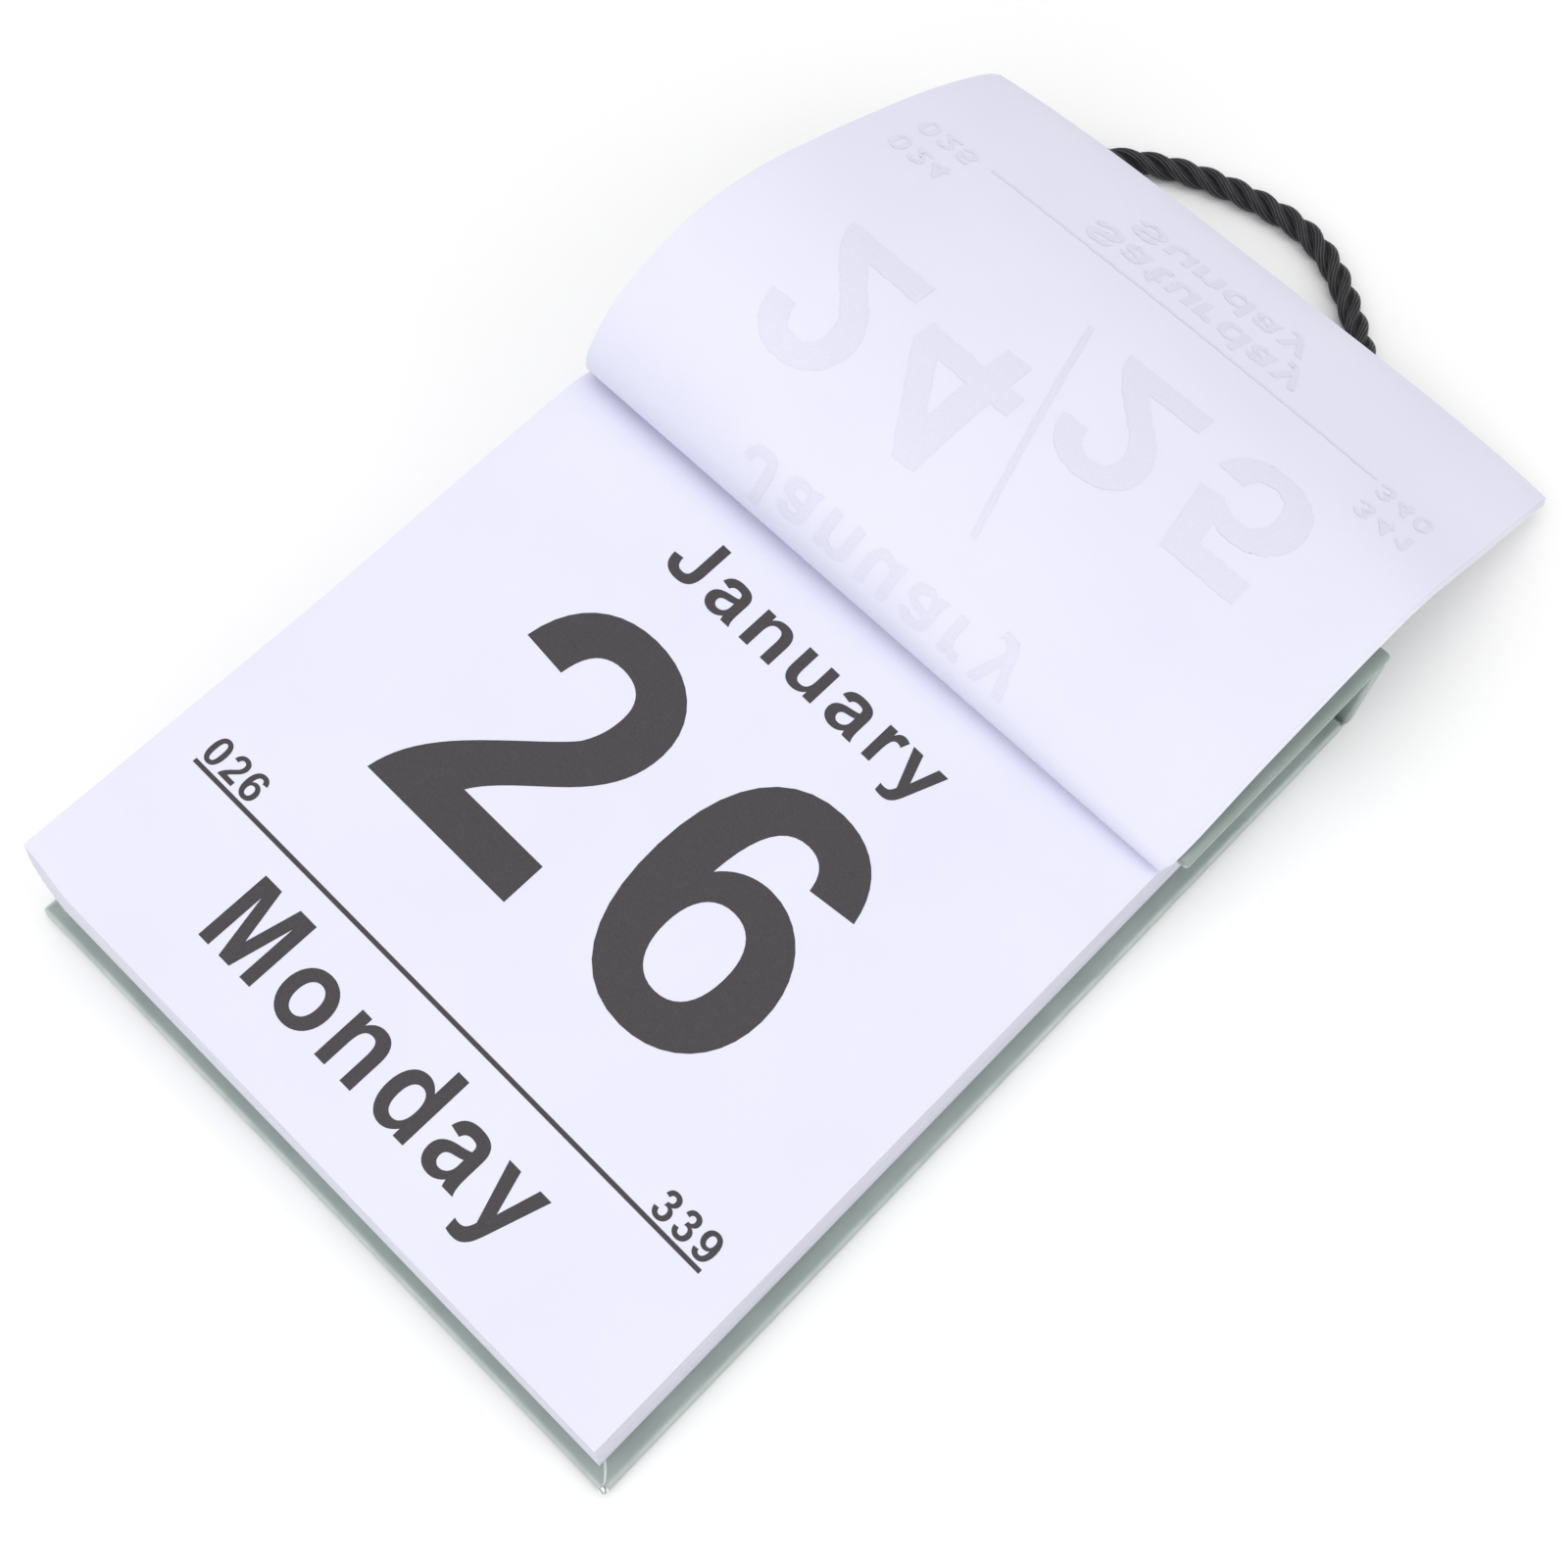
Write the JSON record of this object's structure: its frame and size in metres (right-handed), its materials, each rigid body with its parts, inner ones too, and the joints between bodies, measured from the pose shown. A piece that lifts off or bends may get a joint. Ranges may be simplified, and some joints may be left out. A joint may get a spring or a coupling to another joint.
{
  "type": "tear-off wall calendar",
  "caption": "Tear-off day calendar in a pale green board case, lying on its back, with a pad of white leaves, past leaves turned up over its short head flap, and a black rope loop.",
  "frame": {"origin": "Centre of the back panel's underside, the face that lies on a table or hangs against a wall.", "axes": "X across the page from left to right, Y up the page towards the head and the rope, Z out of the page towards the reader."},
  "size_m": [0.15, 0.2928, 0.065],
  "materials": {
    "sage_cover": "uncoated coloured covering paper",
    "grey_board": "bare bookbinding greyboard",
    "lining_paper": "plain lining paper",
    "white_card": "plain white card",
    "leaf_paper": "smooth uncoated white paper with dark grey print",
    "clear_glue": "dried padding glue",
    "black_rope": "three-strand twisted cord"
  },
  "bodies": {
    "root": {"case_cover": "sage_cover", "lining_sheet": "lining_paper", "back_board": "grey_board", "spine_board": "grey_board", "flap_board": "grey_board", "backing_card": "white_card", "page_block": "leaf_paper", "head_glue": "clear_glue", "turned_leaves": "leaf_paper", "hanging_rope": "black_rope", "knot_left": "black_rope", "knot_right": "black_rope"}
  },
  "joints": []
}
